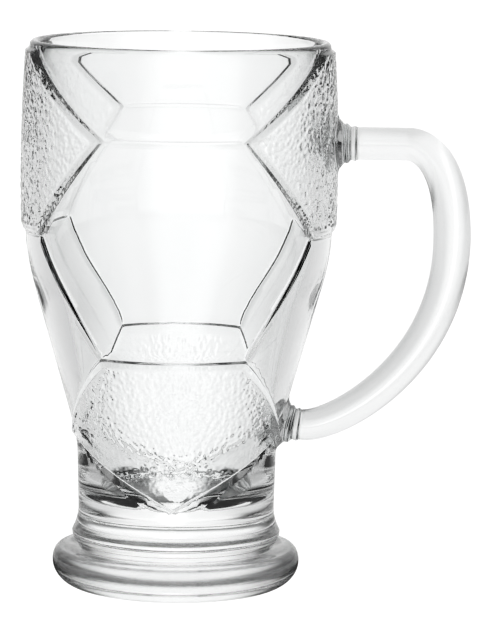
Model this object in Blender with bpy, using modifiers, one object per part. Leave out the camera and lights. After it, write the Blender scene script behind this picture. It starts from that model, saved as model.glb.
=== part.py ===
"""Pressed glass beer mug: a bowl with raised football panels, a round foot and a loop handle."""

from math import atan2, cos, hypot, pi, radians, sin, sqrt

import bmesh
import bpy
from mathutils import Vector
from mathutils.geometry import interpolate_bezier

# Heights in metres, stacked from the table up
FOOT_THICKNESS = 0.0116
FOOT_WIDEST_LEVEL = 0.0075
SEAM_GAP = 0.0003
WAIST_LENGTH = 0.0010
RING_UNDERSIDE = 0.0034
RING_FLARE = 0.0072
NECK_LENGTH = 0.0199
TAPER_LENGTH = 0.0560
BARREL_LENGTH = 0.0606

# Outside radii
FOOT_RADIUS = 0.0362
FOOT_TOP_RADIUS = 0.0338
FOOT_BEARING_RADIUS = 0.0277
WAIST_RADIUS = 0.0286
RING_RADIUS = 0.0307
NECK_FOOT_RADIUS = 0.0287
NECK_RADIUS = 0.0292
BELLY_RADIUS = 0.0450
RIM_RADIUS = 0.0436
BELLY_BELOW_RIM = 0.0380
SHOULDER_BLEND = 0.0020
NECK_BLEND = 0.0012

# Glass thicknesses at the rim, the shoulder, halfway down the taper and the floor
RIM_WALL = 0.0028
SHOULDER_WALL = 0.0050
TAPER_WALL = 0.0076
FLOOR_WALL = 0.0070
SHOULDER_WALL_BELOW_BARREL = 0.0025
TAPER_WALL_ABOVE_NECK = 0.0305
INSIDE_BLEND = 0.0030
FLOOR_THICKNESS = 0.0132
FLOOR_CORNER = 0.0070

# Raised panels: corners as a turn from the front or side and a height along the bowl
PANEL_RISE = 0.0012
FRONT_PANEL_FOOT_RISE = 0.0020
PANEL_BEVEL = 0.0022
PANEL_RIM_BEVEL = 0.0009
PANEL_TIP_BEVEL = 0.0010
SIDE_PANEL_BELOW_RIM = 0.0021
SIDE_PANEL_TOP_TURN = radians(22.5)
SIDE_PANEL_WIDE_TURN = radians(64)
SIDE_PANEL_FOOT_TURN = radians(31)
SIDE_PANEL_WIDE_ABOVE_TAPER = 0.0346
SIDE_PANEL_FOOT_ABOVE_TAPER = 0.0056
FRONT_PANEL_TOP_TURN = radians(34)
FRONT_PANEL_WIDE_TURN = radians(75)
FRONT_PANEL_TOP_ABOVE_NECK = 0.0276
FRONT_PANEL_WIDE_ABOVE_NECK = 0.0038
FRONT_PANEL_TIP_ABOVE_RING = 0.0099

# Grooves between neighbouring clear panels
GROOVE_WIDTH = 0.0018
GROOVE_DEPTH = 0.0006

# Valley along the front panel's lower edge, from beside its tip, narrowing outwards
VALLEY_WIDTH = 0.0064
VALLEY_DEPTH = 0.0014
VALLEY_START_SHARE = 0.2
VALLEY_END_SHARE = 0.3

# Handle, with its middle line in the XZ plane
HANDLE_THICKNESS = 0.0110
HANDLE_WIDTH = 0.0140
UPPER_ARM_THICKNESS = 0.0096
LOWER_ARM_THICKNESS = 0.0090
FINGER_ROOM = 0.0278
UPPER_ROOT_ABOVE_TAPER = 0.0313
LOWER_ROOT_ABOVE_NECK = 0.0049
WIDEST_ABOVE_TAPER = 0.0040
UPPER_BEND = 0.0133
UPPER_BEND_PULL = 0.0040
LIMB_PULL_UP = 0.0235
LIMB_PULL_DOWN = 0.0380
LOWER_ARM_PULL = 0.0090
LOWER_ARM_SLOPE = radians(-4)
ROOT_FLARE = 0.0037
ROOT_FLARE_LENGTH = 0.0052
ROOT_INSET = 0.0050

# Fineness of the faceted surfaces
TURN_STEPS = 64
OUTSIDE_STEPS = 17
INSIDE_STEPS = 18
ARC_STEPS = 5
RIM_STEPS = 6
HANDLE_SPANS = 12
HANDLE_SIDES = 16
MERGE_DISTANCE = 0.00001
SHARP_ANGLE = radians(25)

# Levels that follow from the stack
SEAM_LEVEL = FOOT_THICKNESS + SEAM_GAP
WAIST_TOP = SEAM_LEVEL + WAIST_LENGTH
RING_LEVEL = WAIST_TOP + RING_UNDERSIDE
NECK_BOTTOM = RING_LEVEL + RING_FLARE
NECK_TOP = NECK_BOTTOM + NECK_LENGTH
TAPER_TOP = NECK_TOP + TAPER_LENGTH
HEIGHT = TAPER_TOP + BARREL_LENGTH
BELLY_LEVEL = HEIGHT - BELLY_BELOW_RIM
FLOOR_LEVEL = SEAM_LEVEL + FLOOR_THICKNESS


def clear_scene():
    for item in list(bpy.data.objects):
        bpy.data.objects.remove(item, do_unlink=True)


def new_collection(name):
    made = bpy.data.collections.new(name)
    bpy.context.scene.collection.children.link(made)
    return made


def new_object(name, data, collection):
    made = bpy.data.objects.new(name, data)
    collection.objects.link(made)
    return made


def baked_mesh(item):
    """The object's shape with its modifiers worked in."""
    bpy.context.view_layer.update()
    graph = bpy.context.evaluated_depsgraph_get()
    return bpy.data.meshes.new_from_object(item.evaluated_get(graph))


def clear_glass(name, colour):
    material = bpy.data.materials.new(name)
    material.use_nodes = True
    shader = material.node_tree.nodes["Principled BSDF"]
    shader.inputs["Base Color"].default_value = (*colour, 1.0)
    shader.inputs["Metallic"].default_value = 0.0
    shader.inputs["Roughness"].default_value = 0.03
    shader.inputs["IOR"].default_value = 1.52
    shader.inputs["Transmission Weight"].default_value = 1.0
    return material


def smooth_min(first, second, width):
    """The smaller value, rounded off where the two lie closer than the width."""
    near = max(width - abs(first - second), 0.0)
    return min(first, second) - near * near / (4 * width)


def outer_radius(level):
    """The clear panels' surface: a barrel, a cone below it, a neck and its flare to the ring."""
    past_belly = (level - BELLY_LEVEL) / BELLY_BELOW_RIM
    barrel = BELLY_RADIUS - (BELLY_RADIUS - RIM_RADIUS) * past_belly**2
    up_taper = (level - NECK_TOP) / TAPER_LENGTH
    cone = NECK_RADIUS + (BELLY_RADIUS - NECK_RADIUS) * up_taper
    shoulder = smooth_min(barrel, cone, SHOULDER_BLEND)
    up_neck = (level - NECK_BOTTOM) / NECK_LENGTH
    neck = NECK_FOOT_RADIUS + (NECK_RADIUS - NECK_FOOT_RADIUS) * up_neck
    down_flare = max(NECK_BOTTOM - level, 0.0) / RING_FLARE
    flared = neck + (RING_RADIUS - NECK_FOOT_RADIUS) * down_flare**2
    return -smooth_min(-shoulder, -flared, NECK_BLEND)


def inner_radius(level):
    """Straight runs between the rim, the shoulder, the taper and the floor, softly joined."""
    rim = (HEIGHT - RIM_WALL / 2, RIM_WALL)
    shoulder = (TAPER_TOP - SHOULDER_WALL_BELOW_BARREL, SHOULDER_WALL)
    taper = (NECK_TOP + TAPER_WALL_ABOVE_NECK, TAPER_WALL)
    floor = (FLOOR_LEVEL, FLOOR_WALL)
    throat = straight_run(rim, shoulder, level)
    cone = straight_run(shoulder, taper, level)
    well = straight_run(taper, floor, level)
    lower = -smooth_min(-cone, -well, INSIDE_BLEND)
    return smooth_min(throat, lower, INSIDE_BLEND)


def straight_run(upper, lower, level):
    """Inner radius here on the line between two levels with their glass thicknesses."""
    upper_radius = outer_radius(upper[0]) - upper[1]
    lower_radius = outer_radius(lower[0]) - lower[1]
    return lower_radius + (upper_radius - lower_radius) * (level - lower[0]) / (upper[0] - lower[0])


def spread_between(start, end, steps):
    return [start + (end - start) * step / steps for step in range(steps + 1)]


def outside_profile(grow):
    """Outer side from just under the rim, over the ring, down to the seam with the foot."""
    levels = spread_between(HEIGHT - RIM_WALL / 2, NECK_BOTTOM, OUTSIDE_STEPS)
    levels += spread_between(NECK_BOTTOM, RING_LEVEL, ARC_STEPS)[1:]
    points = [(outer_radius(level), level) for level in levels]
    ring = outer_radius(RING_LEVEL)
    for angle in spread_between(0.0, -pi / 2, ARC_STEPS)[1:]:
        radius = WAIST_RADIUS + (ring - WAIST_RADIUS) * cos(angle)
        points.append((radius, RING_LEVEL + RING_UNDERSIDE * sin(angle)))
    points.append((WAIST_RADIUS, SEAM_LEVEL))
    return [(radius + grow, level) for radius, level in points]


def inside_profile():
    """Inner side from the middle of the floor up to just under the rim."""
    wall_foot = FLOOR_LEVEL + FLOOR_CORNER
    corner_radius = inner_radius(wall_foot) - FLOOR_CORNER
    points = [(0.0, FLOOR_LEVEL)]
    for angle in spread_between(-pi / 2, 0.0, ARC_STEPS)[:-1]:
        radius = corner_radius + FLOOR_CORNER * cos(angle)
        points.append((radius, wall_foot + FLOOR_CORNER * sin(angle)))
    top = HEIGHT - RIM_WALL / 2
    points += [(inner_radius(level), level) for level in spread_between(wall_foot, top, INSIDE_STEPS)]
    return points


def rim_profile():
    """The rounded lip, from the inner side over to the outer side."""
    lip = RIM_WALL / 2
    middle = outer_radius(HEIGHT - lip) - lip
    angles = spread_between(pi, 0.0, RIM_STEPS)[1:-1]
    return [(middle + lip * cos(angle), HEIGHT - lip + lip * sin(angle)) for angle in angles]


def turned(name, profile, collection, angle=2 * pi):
    """A body turned about Z from a profile that ends with its outer side running down."""
    mesh = bpy.data.meshes.new(name)
    points = [(radius, 0.0, level) for radius, level in profile]
    mesh.from_pydata(points, [(step, step + 1) for step in range(len(points) - 1)], [])
    made = new_object(name, mesh, collection)
    screw = made.modifiers.new("turn", "SCREW")
    screw.angle = angle
    screw.steps = round(TURN_STEPS * angle / (2 * pi))
    screw.render_steps = screw.steps
    screw.use_merge_vertices = True
    screw.merge_threshold = MERGE_DISTANCE
    screw.use_smooth_shade = True
    return made


def both_ways(corners):
    """A counter-clockwise outline from its right-hand corners, listed from the bottom up."""
    mirrored = [Vector((-corner.x, corner.y)) for corner in reversed(corners) if corner.x > 0]
    return corners + mirrored


def side_outline():
    return both_ways([
        Vector((SIDE_PANEL_FOOT_TURN, TAPER_TOP + SIDE_PANEL_FOOT_ABOVE_TAPER)),
        Vector((SIDE_PANEL_WIDE_TURN, TAPER_TOP + SIDE_PANEL_WIDE_ABOVE_TAPER)),
        Vector((SIDE_PANEL_TOP_TURN, HEIGHT - SIDE_PANEL_BELOW_RIM)),
    ])


def front_outline():
    return both_ways([
        Vector((0.0, RING_LEVEL + FRONT_PANEL_TIP_ABOVE_RING)),
        Vector((FRONT_PANEL_WIDE_TURN, NECK_TOP + FRONT_PANEL_WIDE_ABOVE_NECK)),
        Vector((FRONT_PANEL_TOP_TURN, NECK_TOP + FRONT_PANEL_TOP_ABOVE_NECK)),
    ])


class Panel:
    """A raised panel with sloping borders, drawn flat and centred on one turn of the bowl."""

    def __init__(self, outline, middle, foot_rise):
        levels = [corner.y for corner in outline]
        self.spread = outer_radius(sum(levels) / len(levels))
        self.middle = middle
        self.foot_rise = foot_rise
        self.top = max(levels)
        self.widest = max(outline, key=lambda corner: corner.x).y
        self.corners = [Vector((corner.x * self.spread, corner.y)) for corner in outline]
        following = self.corners[1:] + self.corners[:1]
        self.edges = list(zip(self.corners, following))
        self.borders = [self.border_width(*edge) for edge in self.edges]
        self.crown = [self.crown_corner(index) for index in range(len(outline))]

    def border_width(self, start, end):
        """The border is narrow under the rim and along the edges that meet in the front panel's tip."""
        if min(start.y, end.y) > HEIGHT - SIDE_PANEL_BELOW_RIM - MERGE_DISTANCE:
            return PANEL_RIM_BEVEL
        to_tip = min(start.y, end.y) < RING_LEVEL + FRONT_PANEL_TIP_ABOVE_RING + MERGE_DISTANCE
        return PANEL_TIP_BEVEL if to_tip else PANEL_BEVEL

    def inward(self, index):
        start, end = self.edges[index]
        along = (end - start).normalized()
        return Vector((-along.y, along.x))

    def crown_corner(self, index):
        """The outline's corner, moved in by the borders of the two edges that meet there."""
        before, after = self.inward(index - 1), self.inward(index)
        step_before, step_after = self.borders[index - 1], self.borders[index]
        across = before.x * after.y - before.y * after.x
        step_x = (step_before * after.y - step_after * before.y) / across
        step_y = (step_after * before.x - step_before * after.x) / across
        return self.corners[index] + Vector((step_x, step_y))

    def share(self, turn, level):
        """How much of the panel's rise is reached here: none outside, a slope, then all on the crown."""
        place = Vector(((turn - self.middle) * self.spread, level))
        reached = 1.0
        for index, (start, _) in enumerate(self.edges):
            inside = (place - start).dot(self.inward(index))
            reached = min(reached, inside / self.borders[index])
        return max(reached, 0.0)

    def rise(self, level):
        """The crown's height, which changes from the panel's top down to its widest level."""
        down = (self.top - level) / (self.top - self.widest)
        return PANEL_RISE + (self.foot_rise - PANEL_RISE) * min(max(down, 0.0), 1.0)

    def lines(self):
        """Every crease of the panel, as pairs of places on the bowl."""
        crown_edges = zip(self.crown, self.crown[1:] + self.crown[:1])
        mitres = zip(self.corners, self.crown)
        return [tuple(map(self.place, line)) for line in [*self.edges, *crown_edges, *mitres]]

    def place(self, corner):
        return Vector((corner.x / self.spread + self.middle, corner.y))


class Groove:
    """A shallow V along the line between two places of the pattern, which may narrow to its end."""

    def __init__(self, start, end, width, depth, end_share=1.0):
        self.width = width
        self.depth = depth
        self.end_share = end_share
        self.spread = outer_radius((start.y + end.y) / 2)
        self.start = self.flat(start)
        self.end = self.flat(end)
        self.along = (self.end - self.start).normalized()
        self.across = Vector((-self.along.y, self.along.x))

    def flat(self, place):
        return Vector((place.x * self.spread, place.y))

    def sink(self, turn, level):
        """How deep the groove is here, with sides of the same slope all along."""
        from_start = self.flat(Vector((turn, level))) - self.start
        length = (self.end - self.start).length
        along = from_start.dot(self.along)
        past_end = max(-along, along - length, 0.0)
        aside = abs(from_start.dot(self.across)) + past_end
        narrowed = (1 - self.end_share) * min(max(along / length, 0.0), 1.0)
        return self.depth * max(1 - narrowed - 2 * aside / self.width, 0.0)

    def lines(self):
        found = []
        for side in (-self.width / 2, 0.0, self.width / 2):
            ends = (self.start + self.across * side, self.end + self.across * side * self.end_share)
            found.append(tuple(Vector((end.x / self.spread, end.y)) for end in ends))
        return found


def quarter_pattern():
    """Panels and grooves of the quarter from the back, at no turn, to the side, at a right angle."""
    side = Panel(side_outline(), pi / 2, PANEL_RISE)
    front = Panel(front_outline(), 0.0, FRONT_PANEL_FOOT_RISE)
    upper = Vector((pi / 2 - SIDE_PANEL_WIDE_TURN, TAPER_TOP + SIDE_PANEL_WIDE_ABOVE_TAPER))
    middle = Vector((pi / 2 - SIDE_PANEL_FOOT_TURN, TAPER_TOP + SIDE_PANEL_FOOT_ABOVE_TAPER))
    lower = Vector((FRONT_PANEL_TOP_TURN, NECK_TOP + FRONT_PANEL_TOP_ABOVE_NECK))
    over_hexagon = Groove(Vector((-upper.x, upper.y)), upper, GROOVE_WIDTH, GROOVE_DEPTH)
    beside_hexagon = Groove(middle, lower, GROOVE_WIDTH, GROOVE_DEPTH)
    tip, wide = front_outline()[:2]
    beside_tip = tip.lerp(wide, VALLEY_START_SHARE)
    valley = Groove(beside_tip, wide, VALLEY_WIDTH, VALLEY_DEPTH, VALLEY_END_SHARE)
    return [side, front], [over_hexagon, beside_hexagon, valley]


def surface_lift(turn, level, panels, grooves):
    """How far the surface stands out here: panels rise, and grooves sink where no crown covers them."""
    shares = [panel.share(turn, level) for panel in panels]
    raised = sum(panel.rise(level) * share for panel, share in zip(panels, shares))
    sunk = max(groove.sink(turn, level) for groove in grooves)
    return raised - sunk * (1 - max(shares))


def score_line(sheet, outside, start, end):
    """Cuts the unrolled outside along a line, only in the faces that the line runs through."""
    low = Vector((min(start.x, end.x), min(start.y, end.y)))
    high = Vector((max(start.x, end.x), max(start.y, end.y)))
    crossed = []
    for face in sheet.faces:
        turns = [vert.co.x for vert in face.verts]
        levels = [vert.co.z for vert in face.verts]
        apart = max(turns) < low.x or min(turns) > high.x or max(levels) < low.y or min(levels) > high.y
        if face[outside] and not apart:
            crossed.append(face)
    edges = {edge for face in crossed for edge in face.edges}
    verts = {vert for face in crossed for vert in face.verts}
    bmesh.ops.bisect_plane(
        sheet,
        geom=[*verts, *edges, *crossed],
        dist=MERGE_DISTANCE,
        plane_co=(start.x, 0, start.y),
        plane_no=(end.y - start.y, 0, start.x - end.x),
    )


def patterned(name, profile, grow, collection):
    """A quarter of the bowl's form, scored and raised along the pattern, and mirrored twice."""
    blank = turned(name, profile, collection, angle=pi / 2)
    quarter = bmesh.new()
    quarter.from_mesh(baked_mesh(blank))
    blank.modifiers.clear()
    outside = quarter.faces.layers.int.new("outside")
    for vert in quarter.verts:
        vert.co = (atan2(vert.co.x, vert.co.y), hypot(vert.co.x, vert.co.y), vert.co.z)
    for face in quarter.faces:
        on_wall = [is_outside(vert.co, grow) for vert in face.verts]
        face[outside] = all(on_wall)
    panels, grooves = quarter_pattern()
    for shape in panels + grooves:
        for start, end in shape.lines():
            score_line(quarter, outside, start, end)
    wall = [face for face in quarter.faces if face[outside]]
    bmesh.ops.triangulate(quarter, faces=wall)
    raised = {vert for face in quarter.faces if face[outside] for vert in face.verts}
    for vert in quarter.verts:
        turn, radius, level = vert.co
        if vert in raised:
            radius = outer_radius(level) + grow + surface_lift(turn, level, panels, grooves)
        vert.co = (radius * sin(turn), radius * cos(turn), level)
    quarter.to_mesh(blank.data)
    quarter.free()
    mirror = blank.modifiers.new("mirror", "MIRROR")
    mirror.use_axis = (True, True, False)
    mirror.merge_threshold = MERGE_DISTANCE
    return blank


def is_outside(place, grow):
    off_wall = abs(place.y - outer_radius(place.z) - grow)
    return off_wall < MERGE_DISTANCE and place.z > RING_LEVEL - MERGE_DISTANCE


def make_bowl(parts):
    profile = inside_profile() + rim_profile() + outside_profile(0.0)
    profile.append((0.0, SEAM_LEVEL))
    return patterned("bowl", profile, 0.0, parts)


def foot_profile():
    """From the seam, out over the top and round the edge to the flat underside."""
    points = [(0.0, FOOT_THICKNESS)]
    for angle in spread_between(pi / 2, 0.0, ARC_STEPS):
        radius = FOOT_TOP_RADIUS + (FOOT_RADIUS - FOOT_TOP_RADIUS) * cos(angle)
        points.append((radius, FOOT_WIDEST_LEVEL + (FOOT_THICKNESS - FOOT_WIDEST_LEVEL) * sin(angle)))
    for angle in spread_between(0.0, -pi / 2, ARC_STEPS)[1:]:
        radius = FOOT_BEARING_RADIUS + (FOOT_RADIUS - FOOT_BEARING_RADIUS) * cos(angle)
        points.append((radius, FOOT_WIDEST_LEVEL + FOOT_WIDEST_LEVEL * sin(angle)))
    points.append((0.0, 0.0))
    return points


def make_foot(parts):
    return turned("foot", foot_profile(), parts)


def root_line(wall, outward):
    """From an end buried in the bowl's wall, out through the swelling of a root."""
    steps = [-ROOT_INSET] + spread_between(0.0, ROOT_FLARE_LENGTH + PANEL_RISE, ARC_STEPS)
    return [wall + outward * step for step in steps]


def handle_line():
    """Points of the middle line with the thickness at each, from the upper root to the lower."""
    reach = BELLY_RADIUS + PANEL_RISE + FINGER_ROOM + HANDLE_THICKNESS / 2
    upper_level = TAPER_TOP + UPPER_ROOT_ABOVE_TAPER
    lower_level = NECK_TOP + LOWER_ROOT_ABOVE_NECK
    across = Vector((1, 0, 0))
    down = Vector((0, 0, -1))
    sloping = Vector((cos(LOWER_ARM_SLOPE), 0, sin(LOWER_ARM_SLOPE)))
    upper_root = root_line(Vector((outer_radius(upper_level), 0, upper_level)), across)
    lower_root = root_line(Vector((outer_radius(lower_level), 0, lower_level)), sloping)
    bend = Vector((reach - UPPER_BEND, 0, upper_level))
    widest = Vector((reach, 0, TAPER_TOP + WIDEST_ABOVE_TAPER))
    turn = interpolate_bezier(
        bend, bend + across * UPPER_BEND_PULL, widest - down * LIMB_PULL_UP, widest, HANDLE_SPANS
    )
    limb = interpolate_bezier(
        widest,
        widest + down * LIMB_PULL_DOWN,
        lower_root[-1] + sloping * LOWER_ARM_PULL,
        lower_root[-1],
        2 * HANDLE_SPANS,
    )
    line = [(point, UPPER_ARM_THICKNESS) for point in upper_root]
    line += zip(turn, spread_between(UPPER_ARM_THICKNESS, HANDLE_THICKNESS, len(turn) - 1))
    thinning = spread_between(HANDLE_THICKNESS, LOWER_ARM_THICKNESS, len(limb) - 1)
    line += list(zip(limb, thinning))[1:-1]
    line += [(point, LOWER_ARM_THICKNESS) for point in reversed(lower_root)]
    return line


def root_swelling(point):
    """How far the handle swells here, in a concave round towards the bowl's raised panels."""
    off_bowl = point.x - outer_radius(point.z) - PANEL_RISE
    share = min(max(1 - off_bowl / ROOT_FLARE_LENGTH, 0.0), 1.0)
    return ROOT_FLARE * (1 - sqrt(1 - share**2))


def handle_tube(name):
    """A closed tube along the middle line, widened across the line to its oval section."""
    curve = bpy.data.curves.new(name, "CURVE")
    curve.dimensions = "3D"
    curve.bevel_depth = 1.0
    curve.bevel_resolution = HANDLE_SIDES // 2 - 2
    curve.use_fill_caps = True
    line = handle_line()
    spline = curve.splines.new("POLY")
    spline.points.add(len(line) - 1)
    for knot, (point, thickness) in zip(spline.points, line):
        knot.co = (*point, 1.0)
        knot.radius = thickness / 2 + root_swelling(point)
    tube = new_object(name, curve, bpy.context.scene.collection)
    mesh = baked_mesh(tube)
    bpy.data.objects.remove(tube, do_unlink=True)
    shape = bmesh.new()
    shape.from_mesh(mesh)
    bmesh.ops.remove_doubles(shape, verts=shape.verts, dist=MERGE_DISTANCE)
    bmesh.ops.scale(shape, verts=shape.verts, vec=(1, HANDLE_WIDTH / HANDLE_THICKNESS, 1))
    bmesh.ops.recalc_face_normals(shape, faces=shape.faces)
    shape.to_mesh(mesh)
    shape.free()
    return mesh


def make_handle(parts, helpers):
    handle = new_object("handle", handle_tube("handle"), parts)
    profile = [(0.0, HEIGHT)] + outside_profile(SEAM_GAP) + [(0.0, SEAM_LEVEL)]
    seat = patterned("bowl_seat", profile, SEAM_GAP, helpers)
    seat.hide_render = True
    seat.display_type = "WIRE"
    cut = handle.modifiers.new("seat", "BOOLEAN")
    cut.operation = "DIFFERENCE"
    cut.solver = "EXACT"
    cut.object = seat
    return handle


def finish_part(part, material, root):
    """Works the modifiers in, shades the part smooth with crisp edges and hangs it on the root."""
    part.data = baked_mesh(part)
    part.modifiers.clear()
    part.data.shade_smooth()
    part.data.set_sharp_from_angle(angle=SHARP_ANGLE)
    part.data.materials.clear()
    part.data.materials.append(material)
    part.parent = root


def main():
    clear_scene()
    parts = new_collection("beer_mug")
    helpers = new_collection("cutters")
    root = new_object("beer_mug_root", None, parts)
    made = (
        (make_bowl(parts), clear_glass("bowl_glass", (0.97, 0.98, 0.98))),
        (make_foot(parts), clear_glass("foot_glass", (0.96, 0.98, 0.98))),
        (make_handle(parts, helpers), clear_glass("handle_glass", (0.97, 0.98, 0.98))),
    )
    for part, material in made:
        finish_part(part, material, root)


main()
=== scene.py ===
from math import cos, pi, radians, sin

import bmesh
import bpy
import numpy as np
from bpy.props import FloatProperty, FloatVectorProperty, IntProperty, PointerProperty
from mathutils import Matrix, Vector
from mathutils.geometry import delaunay_2d_cdt
from mathutils.kdtree import KDTree


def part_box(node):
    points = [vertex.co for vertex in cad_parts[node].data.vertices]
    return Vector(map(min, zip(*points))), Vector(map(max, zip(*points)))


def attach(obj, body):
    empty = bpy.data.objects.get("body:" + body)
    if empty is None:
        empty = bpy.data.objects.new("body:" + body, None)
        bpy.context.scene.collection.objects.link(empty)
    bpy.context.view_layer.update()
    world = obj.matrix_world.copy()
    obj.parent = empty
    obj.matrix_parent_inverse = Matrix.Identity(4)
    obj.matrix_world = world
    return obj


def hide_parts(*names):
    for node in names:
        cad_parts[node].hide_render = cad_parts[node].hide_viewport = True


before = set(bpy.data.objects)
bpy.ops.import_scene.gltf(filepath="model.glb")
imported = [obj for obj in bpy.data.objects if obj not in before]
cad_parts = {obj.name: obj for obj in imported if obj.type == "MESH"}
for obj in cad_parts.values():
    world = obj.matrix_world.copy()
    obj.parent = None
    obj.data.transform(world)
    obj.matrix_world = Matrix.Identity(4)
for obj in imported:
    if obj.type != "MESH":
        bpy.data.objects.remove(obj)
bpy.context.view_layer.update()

bl_info = {
    "name": "Football beer mug",
    "version": (1, 0, 0),
    "blender": (4, 5, 0),
    "location": "View3D > Sidebar > Mug",
    "description": "Builds a pressed glass beer mug with stippled football panels on a pale studio floor",
    "category": "Object",
}

BOWL_LOW, BOWL_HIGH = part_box("bowl")
FOOT_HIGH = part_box("foot")[1]
QUARTER = pi / 2
MERGE_DISTANCE = 2e-6
NEARLY_NOTHING = 1e-9
SHORTEST_SHARE = 1e-6
CORNER_ROUND = 0.3
IMAGE_HEIGHT_PX = 633
SENSOR_HEIGHT_MM = 36.0
FLOOR_SIDES = 64
LIGHT_BOUNCES = 32
MIRROR_BOUNCES = 16

# Meshing of the patterned wall, as shares of the mesh sizes and of the panels' borders
CROWN_LINE_SPACING = 1.2
BORDER_LINE_SPACING = 2.4
STEP_FADE = 2.5
GROOVE_LINES = (-0.5, -0.25, 0.0, 0.25, 0.5)
VALLEY_LINES = (1.0, 0.95, 0.75, 0.5, 0.25, 0.0)
CROWN_CLEARANCE = 0.15
BORDER_CLEARANCE = 0.35
CREASE_CLEARANCE = 0.6
FINE_SPREAD = 0.97
PLAIN_SPREAD = 0.9
FLAT_SCALE = 1000
FLAT_MERGE = 1e-4

# Search for the wall from a section of the handle's root, and the stipple's clearance round that root
WALL_SEARCH = 0.02
WALL_SEARCH_STEPS = 40
ROOT_CLEARANCE = 1.03

# Pits of the stipple: softness, unevenness and the level under which the glass is cut down
PIT_SOFTNESS = 0.35
PIT_UNEVENNESS = 0.8
PIT_FLOOR = 0.25

# Streaks, washing marks and ripples in the glass, and the floor's grain, in features per metre
STREAK_STRETCH = (1.0, 1.0, 0.35)
STREAK_SCALE = 45.0
STREAK_DETAIL = 3.0
MARK_SCALE = 260.0
MARK_DETAIL = 5.0
MARK_SHARPNESS = 5.0
RIPPLE_SCALE = 70.0
FLOOR_GRAIN = 6.0
FLOOR_GRAIN_SHARE = 0.99
FLOOR_ROUGHNESS = 0.7
WHITE = (1.0, 1.0, 1.0, 1.0)

# Slant of the studio's back to the left of the mug
BACK_SLANT = 0.024
# Greys of the studio: a share of the way from the front to the back, a height or a distance, and a tone
TENT_TONES = (
    (0.0, 0.05), (0.156, 0.35), (0.278, 0.75), (0.417, 0.40), (0.556, 0.18), (0.694, 0.25), (0.778, 0.70),
    (0.889, 0.97), (1.0, 1.0)
)
GAP_TONES = ((0.69, 0.4), (0.92, 0.95))
ABOVE_GAP = ((0.02, 0.0), (0.09, 1.0))
TOP_TONES = ((0.616, 0.0), (0.819, 0.8))
# Painted light and shade in the floor's glow, seen only through the glass: a brighter band behind the mug and
# darker sides, painted shade under the foot that fades out over FOOT_SHADE's distances, and a painted contact
# shadow in a ring round the foot
FLOOR_PAINTED_LIGHT_AND_SHADE = (
    (0.0, 0.80), (0.33, 0.60), (0.67, 0.58), (0.88, 0.66), (0.96, 0.82), (0.977, 0.84),
    (0.991, 0.96), (1.0, 0.96)
)
UNDER_FOOT_PAINTED_SHADE = ((0.0, 0.93), (0.167, 0.75), (0.333, 0.10), (0.88, 0.12), (0.945, 0.93), (1.0, 0.93))
FOOT_SHADE = ((0.050, 0.0), (0.080, 1.0))
CONTACT_SHADE = ((0.036, 1.0), (0.039, 0.4), (0.052, 0.4), (0.058, 1.0))
# The print's tone for each tone of the picture
PRINT_TONES = (
    (0.0, 0.0), (0.073, 0.002), (0.214, 0.04), (0.448, 0.296), (0.694, 0.658), (0.89, 0.89), (1.0, 1.0)
)


def length(name, description, default):
    return FloatProperty(name=name, description=description, default=default, unit="LENGTH", precision=5)


def angle(name, description, degrees):
    return FloatProperty(name=name, description=description, default=radians(degrees), unit="ROTATION")


def number(name, description, default):
    return FloatProperty(name=name, description=description, default=default, precision=4)


def count(name, description, default):
    return IntProperty(name=name, description=description, default=default, min=1)


def colour(name, description, default):
    return FloatVectorProperty(
        name=name, description=description, default=default, subtype="COLOR", min=0.0, max=1.0
    )


class BowlSizes(bpy.types.PropertyGroup):
    height: length("Height", "Rim above the table", BOWL_HIGH.z)
    seam_level: length(
        "Seam level", "Where bowl and foot are melted together", (BOWL_LOW.z + FOOT_HIGH.z) / 2
    )
    waist_level: length("Waist level", "Top of the narrow waist over the foot", 0.0129)
    ring_level: length("Ring level", "Widest place of the ring", 0.0163)
    pattern_bottom: length("Pattern bottom", "Lowest level that the panels need", 0.0195)
    neck_bottom: length("Neck bottom", "Where the neck begins to flare out to the ring", 0.0235)
    neck_top: length("Neck top", "Where the neck opens into the taper", 0.0434)
    taper_top: length("Taper top", "Where the taper meets the barrel", 0.0994)
    belly_level: length("Belly level", "Widest place of the barrel", 0.1220)
    waist_radius: length("Waist radius", "Outside of the waist", 0.0286)
    ring_radius: length("Ring radius", "Outside of the ring", 0.0307)
    neck_foot_radius: length("Neck foot radius", "Outside of the neck's narrowest place", 0.0287)
    neck_radius: length("Neck radius", "Outside of the neck", 0.0292)
    belly_radius: length("Belly radius", "Outside of the clear barrel", BOWL_HIGH.y)
    rim_radius: length("Rim radius", "Outside of the rim", 0.0436)
    shoulder_blend: length("Shoulder blend", "Softening between taper and barrel", 0.0020)
    neck_blend: length("Neck blend", "Softening between neck and taper", 0.0012)
    rim_wall: length("Rim wall", "Glass thickness at the rim", 0.0028)
    shoulder_wall: length("Shoulder wall", "Glass thickness at the shoulder", 0.0050)
    taper_wall: length("Taper wall", "Glass thickness halfway down the taper", 0.0076)
    floor_wall: length("Floor wall", "Glass thickness beside the floor", 0.0070)
    shoulder_wall_level: length("Shoulder wall level", "Where the shoulder's thickness is taken", 0.0969)
    taper_wall_level: length("Taper wall level", "Where the taper's thickness is taken", 0.0739)
    inside_blend: length("Inside blend", "Softening between the inside's straight runs", 0.0030)
    floor_level: length("Floor level", "Inside floor above the table", 0.0251)
    floor_corner: length("Floor corner", "Round between floor and wall", 0.0070)
    turn_steps: count("Turn steps", "Facets in a quarter turn", 48)
    wall_steps: count("Wall steps", "Facets up the inside", 40)
    arc_steps: count("Arc steps", "Facets in each small round", 8)


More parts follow.
